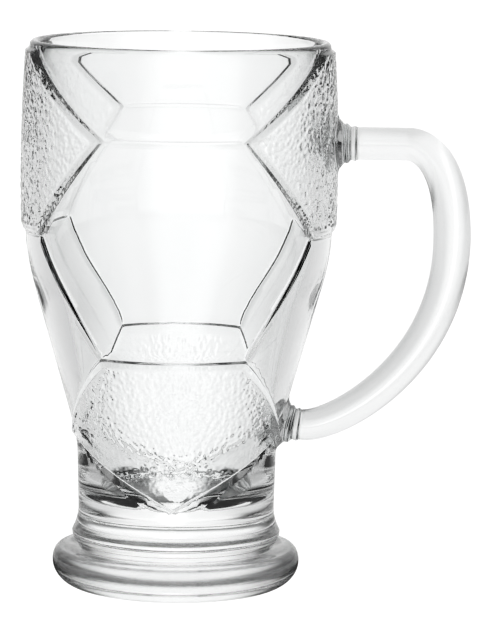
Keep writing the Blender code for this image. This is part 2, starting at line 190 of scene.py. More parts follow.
class PanelSizes(bpy.types.PropertyGroup):
    rise: length("Rise", "Height of the raised panels", 0.0012)
    front_foot_rise: length("Front foot rise", "Height of the front panel over the neck", 0.0020)
    bevel: length("Bevel", "Width of a panel's sloping border", 0.0022)
    rim_bevel: length("Rim bevel", "Width of the border under the rim", 0.0009)
    tip_bevel: length("Tip bevel", "Width of the borders that meet at the front panel's tip", 0.0010)
    valley_width: length("Valley width", "Sloping valley beside the front panel's tip", 0.0032)
    valley_depth: length("Valley depth", "Valley's deepest place, beside the front panel's tip", 0.0014)
    valley_start: number("Valley start", "Share of the front panel's lower edge before the valley", 0.2)
    valley_end: number("Valley end", "Share of the valley's width that is left at its far end", 0.3)
    crown_round: number("Crown round", "Share of the border that its upper edge is rounded over", 0.2)
    step_share: number("Step share", "Share of the border that is a steep step", 0.30)
    step_rise: number("Step rise", "Share of the rise that the steep step takes", 0.62)
    step_round: number("Step round", "Share of the border that the step's edges are rounded over", 0.06)
    side_below_rim: length("Side below rim", "Side panel's top edge under the rim", 0.0021)
    side_top_turn: angle("Side top turn", "Half width of the side panel's top", 22.5)
    side_wide_turn: angle("Side wide turn", "Half width of the side panel's widest place", 64)
    side_foot_turn: angle("Side foot turn", "Half width of the side panel's foot", 31)
    side_wide_level: length("Side wide level", "Side panel's widest place", 0.1340)
    side_foot_level: length("Side foot level", "Side panel's lower edge", 0.1050)
    front_top_turn: angle("Front top turn", "Half width of the front panel's top", 34)
    front_wide_turn: angle("Front wide turn", "Half width of the front panel's widest place", 75)
    front_top_level: length("Front top level", "Front panel's upper edge", 0.0710)
    front_wide_level: length("Front wide level", "Front panel's widest place", 0.0472)
    front_tip_level: length("Front tip level", "Front panel's lowest point", 0.0262)
    groove_width: length("Groove width", "Groove between clear panels", 0.0018)
    groove_depth: length("Groove depth", "Groove beside a clear hexagon", 0.0007)
    top_groove_depth: length("Top groove depth", "Groove over a clear hexagon", 0.00026)
    stipple_depth: length("Stipple depth", "Deepest pit of the stippled panels", 0.00024)
    stipple_grain: length("Stipple grain", "Distance between pits", 0.0012)
    stipple_mesh: length("Stipple mesh", "Distance between points of a stippled panel", 0.00045)
    stipple_margin: length("Stipple margin", "Smooth strip inside a panel's border", 0.0006)
    tip_strip: length("Tip strip", "Smoother strip along the front panel's lower edges", 0.0085)
    tip_stipple: number("Tip stipple", "Share of the stipple's depth that the smoother strip keeps", 0.3)
    plain_mesh: length("Plain mesh", "Distance between points of a clear panel", 0.0017)


class FootSizes(bpy.types.PropertyGroup):
    thickness: length("Thickness", "Top of the foot above the table", FOOT_HIGH.z)
    radius: length("Radius", "Outside of the foot", 0.0362)
    top_radius: length("Top radius", "Flat top of the foot", 0.0338)
    bearing_radius: length("Bearing radius", "Flat underside of the foot", 0.0277)
    widest_level: length("Widest level", "Widest place of the foot above the table", 0.0075)
    turn_steps: count("Turn steps", "Facets round the foot", 192)
    arc_steps: count("Arc steps", "Facets in each round", 14)


class HandleSizes(bpy.types.PropertyGroup):
    reach: length("Reach", "Middle of the limb from the mug's axis", 0.0795)
    thickness: length("Thickness", "Limb, seen from the side", 0.0110)
    width: length("Width", "Limb, seen from behind", 0.0140)
    upper_thickness: length("Upper thickness", "Upper arm, seen from the side", 0.0096)
    lower_thickness: length("Lower thickness", "Lower arm, seen from the side", 0.0090)
    upper_level: length("Upper level", "Middle of the upper root", 0.1307)
    lower_level: length("Lower level", "Middle of the lower root", 0.0483)
    widest_level: length("Widest level", "Where the limb stands furthest out", 0.1034)
    upper_bend: length("Upper bend", "Reach of the upper bend", 0.0133)
    bend_pull: length("Bend pull", "Roundness of the bend's start", 0.0040)
    limb_pull_up: length("Limb pull up", "Roundness over the widest place", 0.0235)
    limb_pull_down: length("Limb pull down", "Roundness under the widest place", 0.0380)
    lower_pull: length("Lower pull", "Roundness of the lower arm", 0.0090)
    lower_slope: angle("Lower slope", "Slope of the lower root", -4)
    root_flare: length("Root flare", "How far a root swells", 0.0037)
    root_length: length("Root length", "Length of a root's swelling", 0.0064)
    root_gap: length("Root gap", "Seam between handle and bowl", 0.00005)
    root_ripple: length("Root ripple", "Height of the pressed ripples round a root", 0.0003)
    root_ripples: count("Root ripples", "Ripples along a root", 3)
    spans: count("Spans", "Rings along the limb", 64)
    root_spans: count("Root spans", "Rings along a root", 24)
    sides: count("Sides", "Facets round the handle", 48)


class GlassLook(bpy.types.PropertyGroup):
    tint: colour("Tint", "Colour of the clear glass", (0.985, 0.988, 0.988))
    thick_tint: colour("Thick tint", "Colour of the glass where a streak runs", (0.955, 0.962, 0.962))
    # Painted shade: a dark tint at the handle's roots stands in for their dark look through the glass
    root_painted_shade: colour("Root painted shade", "Tint that stands in for the dark look of the roots", (0.45, 0.455, 0.455))
    refraction: number("Refraction", "Index of refraction", 1.52)
    roughness: number("Roughness", "Least roughness of the polished glass", 0.0)
    foot_roughness: number("Foot roughness", "Least roughness of the foot", 0.13)
    drawn_roughness: number("Drawn roughness", "Least roughness of the drawn handle", 0.16)
    wear: number("Wear", "Roughness added by washing marks", 0.02)
    ripple: length("Ripple", "Height of the pressing ripples", 0.00003)


class StudioLook(bpy.types.PropertyGroup):
    floor_colour: colour("Floor", "Floor's own colour, under its pale glow", (0.05, 0.05, 0.05))
    floor_radius: length("Floor radius", "Reach of the floor", 4.0)
    floor_gap: length("Floor gap", "Air film under the foot", 0.0002)
    # Painted light: the floor glows though it is no lamp
    floor_glow: number("Floor glow", "Light that the floor gives by itself", 1.07)
    sky_strength: number("Sky strength", "Brightness of the tent of light", 1.0)
    camera_side: length("Camera side", "Camera beside the mug's axis", 0.020)
    camera_distance: length("Camera distance", "Camera in front of the mug's axis", 1.164)
    camera_level: length("Camera level", "Camera above the table", 0.2394)
    aim_level: length("Aim level", "Point that the camera looks at", 0.0795)
    camera_roll: angle("Camera roll", "Turn of the camera about its view", 0.7)
    camera_turn: angle("Camera turn", "Turn of the view about the mug's axis", 1.25)
    focal_px: number("Focal length", "Focal length in pixels of the photograph", 4022.8)


def soft_min(first, second, width):
    """The smaller value, rounded off where the two lie closer than the width."""
    near = np.maximum(width - np.abs(first - second), 0.0)
    return np.minimum(first, second) - near * near / (4 * width)


def least(values, width):
    """The smallest of several values, rounded off where two lie close together."""
    found = values[0]
    for value in values[1:]:
        found = soft_min(found, value, width)
    return found


def soft_step(share, width):
    """Climbs from nothing to one with both ends rounded off."""
    above = -soft_min(-share, np.zeros_like(share), width)
    return soft_min(above, np.ones_like(share), width)


def both_ways(corners):
    """A counter-clockwise outline from its right-hand corners, listed from the bottom up."""
    mirrored = [(-turn, level) for turn, level in reversed(corners) if turn > 0]
    return np.array(corners + mirrored)


class Panel:
    """A raised panel with sloping borders, drawn flat and centred on one turn of the bowl."""

    def __init__(self, outline, middle, spread, borders, plain_edges):
        self.plain_edges = plain_edges
        self.middle = middle
        self.spread = spread
        self.borders = np.array(borders)
        self.corners = outline * (spread, 1.0)
        along = np.roll(self.corners, -1, axis=0) - self.corners
        along /= np.linalg.norm(along, axis=1)[:, None]
        self.inward = np.stack([-along[:, 1], along[:, 0]], axis=1)
        self.shrink = np.array([self.corner_step(index) for index in range(len(outline))])

    def corner_step(self, index):
        """How a corner moves when both its edges move in by their borders."""
        rows = self.inward[[index - 1, index]]
        return np.linalg.solve(rows, self.borders[[index - 1, index]])

    def edge_shares(self, turn, level):
        """How far inside each edge a place lies, in widths of that edge's border."""
        place = np.stack([(turn - self.middle) * self.spread, level], axis=-1)
        edges = zip(self.corners, self.inward, self.borders)
        return [(place - corner) @ inward / border for corner, inward, border in edges]

    def share(self, turn, level):
        """Below nothing outside the panel, one where the crown begins, and more inside it."""
        return least(self.edge_shares(turn, level), CORNER_ROUND)

    def height(self, turn, level, stepped, plain):
        """Share of the rise, with a stepped border along most edges and a plain slope along the others."""
        shares = list(enumerate(self.edge_shares(turn, level)))
        plain_shares = [share for edge, share in shares if edge in self.plain_edges]
        stepped_shares = [share for edge, share in shares if edge not in self.plain_edges]
        plain_height = plain(least(plain_shares, CORNER_ROUND))
        stepped_height = stepped(least(stepped_shares, CORNER_ROUND))
        return np.minimum(plain_height, stepped_height)

    def ring(self, share):
        """The panel's outline, moved in by a share of its borders, as places on the bowl."""
        corners = self.corners + self.shrink * share
        return np.stack([corners[:, 0] / self.spread + self.middle, corners[:, 1]], axis=1)


def rounded_groove(aside):
    return np.cos(aside * pi) / 2 + 0.5


def straight_groove(aside):
    return 1 - aside


class Groove:
    """A shallow groove along the line between two places of the pattern."""

    def __init__(self, start, end, spread, width, depth, profile, end_share=1.0):
        self.profile = profile
        self.spread = spread
        self.width = width
        self.depth = depth
        self.end_share = end_share
        self.start = np.array(start) * (spread, 1.0)
        self.end = np.array(end) * (spread, 1.0)
        self.span = np.linalg.norm(self.end - self.start)
        self.along = (self.end - self.start) / self.span
        self.across = np.array([-self.along[1], self.along[0]])

    def share(self, turn, level):
        """One along the middle of the groove at its start, and nothing at its edges."""
        place = np.stack([turn * self.spread, level], axis=-1) - self.start
        along = place @ self.along
        past_end = np.maximum(np.maximum(-along, along - self.span), 0.0)
        aside = np.abs(place @ self.across) + past_end
        narrowed = (1 - self.end_share) * np.clip(along / self.span, 0.0, 1.0)
        return self.profile(np.clip(2 * aside / self.width + narrowed, 0.0, 1.0))

    def line(self, aside):
        ends = np.array([self.start + self.across * aside, self.end + self.across * aside * self.end_share])
        return ends / (self.spread, 1.0)


class BowlForm:
    """The bowl's surfaces as formulas of the turn about its axis and the level above the table."""

    def __init__(self, bowl, panels):
        self.bowl = bowl
        self.panels = panels
        side = both_ways([
            (panels.side_foot_turn, panels.side_foot_level),
            (panels.side_wide_turn, panels.side_wide_level),
            (panels.side_top_turn, bowl.height - panels.side_below_rim),
        ])
        front = both_ways([
            (0.0, panels.front_tip_level),
            (panels.front_wide_turn, panels.front_wide_level),
            (panels.front_top_turn, panels.front_top_level),
        ])
        self.side = self.raised(side, QUARTER, {2: panels.rim_bevel})
        self.front = self.raised(front, 0.0, {0: panels.tip_bevel, len(front) - 1: panels.tip_bevel})
        upper = (QUARTER - panels.side_wide_turn, panels.side_wide_level)
        middle = (QUARTER - panels.side_foot_turn, panels.side_foot_level)
        lower = (panels.front_top_turn, panels.front_top_level)
        other_upper = (-upper[0], upper[1])
        width = panels.groove_width
        self.grooves = [
            self.groove(other_upper, upper, width, panels.top_groove_depth, rounded_groove),
            self.groove(middle, lower, width, panels.groove_depth, rounded_groove),
        ]
        beside_tip = front[0] + (front[1] - front[0]) * panels.valley_start
        both_sides = 2 * panels.valley_width
        self.valley = self.groove(
            beside_tip, front[1], both_sides, panels.valley_depth, straight_groove, panels.valley_end
        )

    def raised(self, outline, middle, other_borders):
        spread = float(self.outer(np.mean(outline[:, 1])))
        borders = [other_borders.get(edge, self.panels.bevel) for edge in range(len(outline))]
        return Panel(outline, middle, spread, borders, other_borders)

    def groove(self, start, end, width, depth, profile, end_share=1.0):
        spread = float(self.outer((start[1] + end[1]) / 2))
        return Groove(start, end, spread, width, depth, profile, end_share)

    def outer(self, level):
        """The clear panels' surface: a barrel, a cone below it, a neck and its flare to the ring."""
        bowl = self.bowl
        past_belly = (level - bowl.belly_level) / (bowl.height - bowl.belly_level)
        barrel = bowl.belly_radius - (bowl.belly_radius - bowl.rim_radius) * past_belly**2
        up_taper = (level - bowl.neck_top) / (bowl.taper_top - bowl.neck_top)
        cone = bowl.neck_radius + (bowl.belly_radius - bowl.neck_radius) * up_taper
        shoulder = soft_min(barrel, cone, bowl.shoulder_blend)
        up_neck = (level - bowl.neck_bottom) / (bowl.neck_top - bowl.neck_bottom)
        neck = bowl.neck_foot_radius + (bowl.neck_radius - bowl.neck_foot_radius) * up_neck
        down_flare = np.maximum(bowl.neck_bottom - level, 0.0) / (bowl.neck_bottom - bowl.ring_level)
        flared = neck + (bowl.ring_radius - bowl.neck_foot_radius) * down_flare**2
        return -soft_min(-shoulder, -flared, bowl.neck_blend)

    def inner(self, level):
        """Straight runs between the rim, the shoulder, the taper and the floor, softly joined."""
        bowl = self.bowl
        stops = (
            (self.wall_top(), bowl.rim_wall),
            (bowl.shoulder_wall_level, bowl.shoulder_wall),
            (bowl.taper_wall_level, bowl.taper_wall),
            (bowl.floor_level, bowl.floor_wall),
        )
        runs = []
        for (top, top_wall), (foot, foot_wall) in zip(stops, stops[1:]):
            top_radius = self.outer(top) - top_wall
            foot_radius = self.outer(foot) - foot_wall
            runs.append(foot_radius + (top_radius - foot_radius) * (level - foot) / (top - foot))
        throat, taper, well = runs
        below = -soft_min(-taper, -well, bowl.inside_blend)
        return soft_min(throat, below, bowl.inside_blend)

    def panel_share(self, turn, level):
        return np.maximum(self.side.share(turn, level), self.front.share(turn, level))

    def wall(self, turn, level):
        """Radius of the outside with its raised panels and grooves, for turns of one quarter."""
        side = self.side.height(turn, level, self.stepped_border, self.plain_border)
        front = self.front.height(turn, level, self.stepped_border, self.plain_border)
        raised = self.panels.rise * side + self.front_rise(level) * front
        sunk = self.valley.depth * self.valley.share(turn, level) * (1 - front)
        grooved = np.maximum(*[groove.depth * groove.share(turn, level) for groove in self.grooves])
        open_wall = np.clip(-2 * self.panel_share(turn, level), 0.0, 1.0)
        return self.outer(level) + raised - sunk - grooved * open_wall

    def front_rise(self, level):
        """The front panel keeps on down the taper while the neck under it draws in."""
        panels = self.panels
        down = (panels.front_top_level - level) / (panels.front_top_level - panels.front_wide_level)
        return panels.rise + (panels.front_foot_rise - panels.rise) * np.clip(down, 0.0, 1.0)

    def plain_border(self, share):
        return soft_step(share, self.panels.crown_round)

    def stepped_border(self, share):
        """A steep step at the panel's foot, then a gentle slope up to its crown."""
        panels = self.panels
        step = soft_step(share / panels.step_share, panels.step_round / panels.step_share)
        past_step = (share - panels.step_share) / (1 - panels.step_share)
        slope = soft_step(past_step, panels.crown_round)
        return panels.step_rise * step + (1 - panels.step_rise) * slope

    def wall_at(self, places):
        """Radius of the outside beside points in space."""
        turn = np.arctan2(np.abs(places[..., 0]), np.abs(places[..., 1]))
        return self.wall(turn, places[..., 2])

    def wall_top(self):
        return self.bowl.height - self.bowl.rim_wall / 2


def sampled(start, end, spacing, spread):
    """Points along a straight line within the quarter, about one spacing apart."""
    run = np.hypot((end[0] - start[0]) * spread, end[1] - start[1])
    steps = max(1, round(run / spacing))
    places = start + (end - start) * np.linspace(0.0, 1.0, steps + 1)[:, None]
    places[:, 0] = np.clip(np.round(places[:, 0], 9), 0.0, QUARTER)
    return places


def within_quarter(start, end):
    """The stretch of a line that lies in the quarter, or None."""
    low, high = 0.0, 1.0
    run = end[0] - start[0]
    if abs(run) < NEARLY_NOTHING:
        inside = -NEARLY_NOTHING <= start[0] <= QUARTER + NEARLY_NOTHING
        return (start, end) if inside else None
    for limit in (0.0, QUARTER):
        share = (limit - start[0]) / run
        leaving = (run > 0) == (limit > 0)
        low, high = (low, min(high, share)) if leaving else (max(low, share), high)
    if high - low < SHORTEST_SHARE:
        return None
    return tuple(start + (end - start) * share for share in (low, high))


def pattern_lines(form):
    """Every crease of the pattern within one quarter, as runs of places on the bowl."""
    panels = form.panels
    foot, crown = panels.step_round, panels.crown_round
    steps = [-foot, 0.0, foot]
    steps += [panels.step_share + aside for aside in (-foot, 0.0, foot, STEP_FADE * foot)]
    steps += [1 - crown, 1.0, 1 + crown]
    lines = []
    for panel in (form.side, form.front):
        for share in steps:
            corners = panel.ring(share)
            spacing = panels.stipple_mesh * (CROWN_LINE_SPACING if share > 1 else BORDER_LINE_SPACING)
            for start, end in zip(corners, np.roll(corners, -1, axis=0)):
                lines.append((start, end, spacing))
        for start, end in zip(panel.ring(-foot), panel.ring(1 + crown)):
            lines.append((start, end, panels.stipple_mesh))
    for groove in form.grooves:
        for aside in GROOVE_LINES:
            start, end = groove.line(aside * panels.groove_width)
            lines.append((start, end, panels.plain_mesh / 2))
    for share in VALLEY_LINES:
        start, end = form.valley.line(-share * panels.valley_width)
        lines.append((start, end, panels.plain_mesh / 2))
    spread = form.bowl.neck_radius
    found = []
    for start, end, spacing in lines:
        kept = within_quarter(start, end)
        if kept:
            found.append(sampled(*kept, spacing, spread))
    return found


def lattice(spacing, spread, bottom, top):
    """Evenly staggered places over one quarter."""
    rows = np.arange(bottom + spacing / 2, top - spacing / 4, spacing * sin(pi / 3))
    columns = np.arange(spacing / 2, QUARTER * spread, spacing)
    shifted = columns[None, :] + np.where(np.arange(len(rows)) % 2, spacing / 2, 0.0)[:, None]
    places = np.stack([shifted / spread, np.broadcast_to(rows[:, None], shifted.shape)], axis=-1)
    places = places.reshape(-1, 2)
    return places[places[:, 0] < QUARTER - spacing / spread / 3]


def groove_distance(form, turn, level):
    return np.max([groove.share(turn, level) for groove in (*form.grooves, form.valley)], axis=0)


def sheet_places(form):
    """Places that the outside wall's quarter is meshed over, apart from the creases."""
    panels = form.panels
    bottom, top = form.bowl.pattern_bottom, form.wall_top()
    crown = 1 + panels.crown_round
    fine = lattice(panels.stipple_mesh, form.bowl.belly_radius * FINE_SPREAD, bottom, top)
    fine = fine[form.panel_share(*fine.T) > crown + CROWN_CLEARANCE]
    plain = lattice(panels.plain_mesh, form.bowl.belly_radius * PLAIN_SPREAD, bottom, top)
    outside = form.panel_share(*plain.T) < -panels.step_round - BORDER_CLEARANCE
    plain = plain[outside & (groove_distance(form, *plain.T) <= 0)]
    edge = []
    for turn in (0.0, QUARTER):
        level = bottom
        while level < top:
            inside = form.panel_share(np.array(turn), np.array(level)) > crown
            level += panels.stipple_mesh if inside else panels.plain_mesh / 2
            edge.append((turn, level))
    edge = np.array(edge)
    edge = edge[edge[:, 1] < top - panels.plain_mesh / 3]
    return fine, plain, edge


def wall_sheet(form):
    """One quarter of the outside wall as points in space and triangles."""
    lines = pattern_lines(form)
    creases = np.concatenate(lines)
    fine, plain, edge = sheet_places(form)
    near = KDTree(len(creases))
    flat = creases * (form.bowl.belly_radius, 1.0)
    for index, (x, y) in enumerate(flat):
        near.insert((x, y, 0.0), index)
    near.balance()

    def clear_of_creases(places, room):
        flat_places = places * (form.bowl.belly_radius, 1.0)
        kept = [near.find((x, y, 0.0))[2] > room for x, y in flat_places]
        return places[np.array(kept)]

    room = form.panels.stipple_mesh * CREASE_CLEARANCE
    turns = np.linspace(0.0, QUARTER, form.bowl.turn_steps + 1)
    ends = [np.stack([turns, np.full_like(turns, level)], axis=1)
            for level in (form.bowl.pattern_bottom, form.wall_top())]
    loose = [clear_of_creases(fine, room), clear_of_creases(plain, 2 * room), clear_of_creases(edge, room)]
    places = np.concatenate([creases, *ends, *loose])
    edges, first = [], 0
    for line in lines:
        edges += [(first + step, first + step + 1) for step in range(len(line) - 1)]
        first += len(line)
    scale = (form.bowl.belly_radius * FLAT_SCALE, FLAT_SCALE)
    flat = [Vector(place) for place in places * scale]
    points, _, faces, *_ = delaunay_2d_cdt(flat, edges, [], 0, FLAT_MERGE)
    places = np.array([tuple(point) for point in points]) / scale
    turn, level = places.T
    radius = form.wall(turn, level)
    return np.stack([radius * np.sin(turn), radius * np.cos(turn), level], axis=1), faces


def turned(profile, turns):
    """A profile of (radius, level) points turned about the axis, as points and four-sided faces."""
    radius, level = np.array(profile).T
    x = radius[:, None] * np.sin(turns)
    y = radius[:, None] * np.cos(turns)
    z = np.broadcast_to(level[:, None], x.shape)
    points = np.stack([x, y, z], axis=-1).reshape(-1, 3)
    rows = len(turns)
    faces = [
        (row * rows + step, row * rows + step + 1, (row + 1) * rows + step + 1, (row + 1) * rows + step)
        for row in range(len(profile) - 1)
        for step in range(rows - 1)
    ]
    return points, faces


def arc(middle, radii, start, end, steps):
    """Points of an elliptic arc, as (radius, level) pairs."""
    angles = np.radians(np.linspace(start, end, steps + 1))
    return [(middle[0] + radii[0] * cos(turn), middle[1] + radii[1] * sin(turn)) for turn in angles]


def cavity_profile(form):
    """From the middle of the floor, up the inside and over the lip to the outside wall's top."""
    bowl = form.bowl
    foot_of_wall = bowl.floor_level + bowl.floor_corner
    corner = float(form.inner(foot_of_wall)) - bowl.floor_corner
    lip = bowl.rim_wall / 2
    points = [(corner * share, bowl.floor_level) for share in np.linspace(0.0, 1.0, bowl.arc_steps)[:-1]]
    points += arc((corner, foot_of_wall), (bowl.floor_corner,) * 2, -90, 0, bowl.arc_steps)[:-1]
    levels = np.linspace(foot_of_wall, form.wall_top(), bowl.wall_steps + 1)
    points += [(float(form.inner(level)), level) for level in levels]
    middle = (float(form.outer(form.wall_top())) - lip, form.wall_top())
    return points + arc(middle, (lip, lip), 180, 0, bowl.arc_steps)[1:]


def base_profile(form):
    """From the flare, over the ring and the waist to the middle of the underside."""
    bowl = form.bowl
    levels = np.linspace(bowl.pattern_bottom, bowl.ring_level, bowl.arc_steps + 1)
    points = [(float(form.outer(level)), level) for level in levels]
    ring = points[-1][0]
    underside = (ring - bowl.waist_radius, bowl.ring_level - bowl.waist_level)
    points += arc((bowl.waist_radius, bowl.ring_level), underside, 0, -90, bowl.arc_steps)[1:]
    points += [(bowl.waist_radius, bowl.seam_level), (0.0, bowl.seam_level)]
    return points


def closed_mesh(name, shells):
    """One mesh from shells of points and faces, with shared points merged and faces turned outwards."""
    points, faces = [], []
    for shell_points, shell_faces in shells:
        first = len(points)
        points += [tuple(point) for point in shell_points]
        faces += [tuple(first + index for index in face) for face in shell_faces]
    mesh = bpy.data.meshes.new(name)
    mesh.from_pydata(points, [], faces)
    shape = bmesh.new()
    shape.from_mesh(mesh)
    bmesh.ops.remove_doubles(shape, verts=shape.verts, dist=MERGE_DISTANCE)
    bmesh.ops.recalc_face_normals(shape, faces=shape.faces)
    open_edges = sum(not edge.is_manifold for edge in shape.edges)
    if open_edges:
        raise RuntimeError(f"{name} has {open_edges} open edges")
    shape.to_mesh(mesh)
    shape.free()
    mesh.shade_smooth()
    return mesh


def mirrored_quarters(shells):
    """Four quarters from one, mirrored across both upright planes."""
    return [
        (points * (side, depth, 1), faces)
        for points, faces in shells
        for side in (1, -1)
        for depth in (1, -1)
    ]


def mesh_points(mesh):
    points = np.empty(len(mesh.vertices) * 3, np.float32)
    mesh.vertices.foreach_get("co", points)
    return points.reshape(-1, 3).astype(float)


def mark_points(mesh, name, values):
    mark = mesh.attributes.new(name, "FLOAT", "POINT")
    mark.data.foreach_set("value", np.asarray(values, np.float32))


def root_offset(places, handle):
    """Distance from the middle of the upper root, as a share of its swollen size."""
    thick = handle.upper_thickness / 2 + handle.root_flare
    wide = thick * handle.width / handle.thickness
    return np.hypot(places[:, 1] / wide, (places[:, 2] - handle.upper_level) / thick)


def stipple_mask(places, form, handle):
    """One on the panels' crowns, less along the front tip, nothing at edges and under the handle."""
    outside = np.hypot(places[:, 0], places[:, 1]) > form.outer(places[:, 2]) + form.panels.rise / 2
    turn = np.arctan2(np.abs(places[:, 0]), np.abs(places[:, 1]))
    past = (form.panel_share(turn, places[:, 2]) - 1 - form.panels.crown_round) * form.panels.bevel
    mask = np.clip(past / form.panels.stipple_margin, 0.0, 1.0)
    edges = form.front.edge_shares(turn, places[:, 2])
    above_strip = np.minimum(edges[0], edges[-1]) * form.panels.tip_bevel - form.panels.tip_strip
    strip = np.clip(-above_strip / form.panels.stipple_margin, 0.0, 1.0) * (np.min(edges, axis=0) > 0)
    mask = mask * (1 - (1 - form.panels.tip_stipple) * strip)
    under_root = (places[:, 0] > 0) & (root_offset(places, handle) < ROOT_CLEARANCE)
    return mask * outside * ~under_root


def new_piece(name, mesh):
    made = bpy.data.objects.new(name, mesh)
    bpy.context.scene.collection.objects.link(made)
    return made


def add_node(tree, kind, **settings):
    node = tree.nodes.new(kind)
    for name, value in settings.items():
        setattr(node, name, value)
    return node


def feed(tree, socket, value):
    """Links a socket to another socket, or sets its plain value."""
    if isinstance(value, bpy.types.NodeSocket):
        tree.links.new(value, socket)
    else:
        socket.default_value = value


def maths(tree, operation, *values):
    node = add_node(tree, "ShaderNodeMath", operation=operation)
    for socket, value in zip(node.inputs, values):
        feed(tree, socket, value)
    return node.outputs[0]


def stipple_tree(material):
    """Pits of uneven depth, pressed in where the stipple mask says."""
    tree = bpy.data.node_groups.new("stipple_pits", "GeometryNodeTree")
    tree.interface.new_socket("Geometry", in_out="INPUT", socket_type="NodeSocketGeometry")
    for name in ("Depth", "Grain"):
        tree.interface.new_socket(name, in_out="INPUT", socket_type="NodeSocketFloat")
    tree.interface.new_socket("Geometry", in_out="OUTPUT", socket_type="NodeSocketGeometry")
    given = add_node(tree, "NodeGroupInput")
    mask = add_node(tree, "GeometryNodeInputNamedAttribute", data_type="FLOAT")
    mask.inputs["Name"].default_value = "stipple"
    scale = maths(tree, "DIVIDE", 1.0, given.outputs["Grain"])
    pits = add_node(tree, "ShaderNodeTexVoronoi", feature="SMOOTH_F1")
    feed(tree, pits.inputs["Scale"], scale)
    pits.inputs["Smoothness"].default_value = PIT_SOFTNESS
    rough = add_node(tree, "ShaderNodeTexNoise")
    feed(tree, rough.inputs["Scale"], scale)
    rough.inputs["Detail"].default_value = 1.0
    unevenness = maths(tree, "MULTIPLY", rough.outputs["Fac"], PIT_UNEVENNESS)
    uneven = maths(tree, "ADD", pits.outputs["Distance"], unevenness)
    above_floor = maths(tree, "MAXIMUM", maths(tree, "SUBTRACT", uneven, PIT_FLOOR), 0.0)
    level = maths(tree, "MINIMUM", above_floor, 1.0)
    inward = maths(tree, "MULTIPLY", maths(tree, "SUBTRACT", level, 1.0), given.outputs["Depth"])
    masked = maths(tree, "MULTIPLY", inward, mask.outputs["Attribute"])
    normal = add_node(tree, "GeometryNodeInputNormal")
    shift = add_node(tree, "ShaderNodeVectorMath", operation="SCALE")
    feed(tree, shift.inputs[0], normal.outputs[0])
    feed(tree, shift.inputs["Scale"], masked)
    moved = add_node(tree, "GeometryNodeSetPosition")
    feed(tree, moved.inputs["Geometry"], given.outputs["Geometry"])
    feed(tree, moved.inputs["Offset"], shift.outputs[0])
    plain = add_node(tree, "GeometryNodeRealizeInstances")
    feed(tree, plain.inputs[0], moved.outputs[0])
    dressed = add_node(tree, "GeometryNodeSetMaterial")
    feed(tree, dressed.inputs["Geometry"], plain.outputs[0])
    dressed.inputs["Material"].default_value = material
    result = add_node(tree, "NodeGroupOutput")
    feed(tree, result.inputs[0], dressed.outputs[0])
    return tree


def worked_in(piece):
    """Turns the piece's modifiers into its plain mesh."""
    bpy.context.view_layer.update()
    graph = bpy.context.evaluated_depsgraph_get()
    mesh = bpy.data.meshes.new_from_object(piece.evaluated_get(graph))
    piece.modifiers.clear()
    piece.data = mesh
    return piece


def pressed_glass_group():
    """Streaks, washing marks and slow ripples that every glass of the mug shares."""
    name = "pressed_glass"
    if name in bpy.data.node_groups:
        return bpy.data.node_groups[name]
    tree = bpy.data.node_groups.new(name, "ShaderNodeTree")
    sockets = (
        ("Clear", "INPUT", "NodeSocketColor"),
        ("Streak", "INPUT", "NodeSocketColor"),
        ("Roughness", "INPUT", "NodeSocketFloat"),
        ("Wear", "INPUT", "NodeSocketFloat"),
        ("Colour", "OUTPUT", "NodeSocketColor"),
        ("Roughness", "OUTPUT", "NodeSocketFloat"),
        ("Ripple", "OUTPUT", "NodeSocketFloat"),
    )
    for label, way, kind in sockets:
        tree.interface.new_socket(label, in_out=way, socket_type=kind)
    given = add_node(tree, "NodeGroupInput")
    result = add_node(tree, "NodeGroupOutput")
    place = add_node(tree, "ShaderNodeTexCoord")
    stretched = add_node(tree, "ShaderNodeMapping")
    stretched.inputs["Scale"].default_value = STREAK_STRETCH
    feed(tree, stretched.inputs["Vector"], place.outputs["Object"])
    streaks = add_node(tree, "ShaderNodeTexNoise")
    streaks.inputs["Scale"].default_value = STREAK_SCALE
    streaks.inputs["Detail"].default_value = STREAK_DETAIL
    feed(tree, streaks.inputs["Vector"], stretched.outputs[0])
    mixed = add_node(tree, "ShaderNodeMix", data_type="RGBA")
    feed(tree, mixed.inputs["Factor"], streaks.outputs["Fac"])
    feed(tree, mixed.inputs["A"], given.outputs["Clear"])
    feed(tree, mixed.inputs["B"], given.outputs["Streak"])
    feed(tree, result.inputs["Colour"], mixed.outputs["Result"])
    marks = add_node(tree, "ShaderNodeTexNoise")
    marks.inputs["Scale"].default_value = MARK_SCALE
    marks.inputs["Detail"].default_value = MARK_DETAIL
    feed(tree, marks.inputs["Vector"], place.outputs["Object"])
    worn = maths(tree, "POWER", marks.outputs["Fac"], MARK_SHARPNESS)
    added = maths(tree, "MULTIPLY", worn, given.outputs["Wear"])
    feed(tree, result.inputs["Roughness"], maths(tree, "ADD", given.outputs["Roughness"], added))
    waves = add_node(tree, "ShaderNodeTexNoise")
    waves.inputs["Scale"].default_value = RIPPLE_SCALE
    waves.inputs["Detail"].default_value = 1.0
    feed(tree, waves.inputs["Vector"], stretched.outputs[0])
    feed(tree, result.inputs["Ripple"], waves.outputs["Fac"])
    return tree


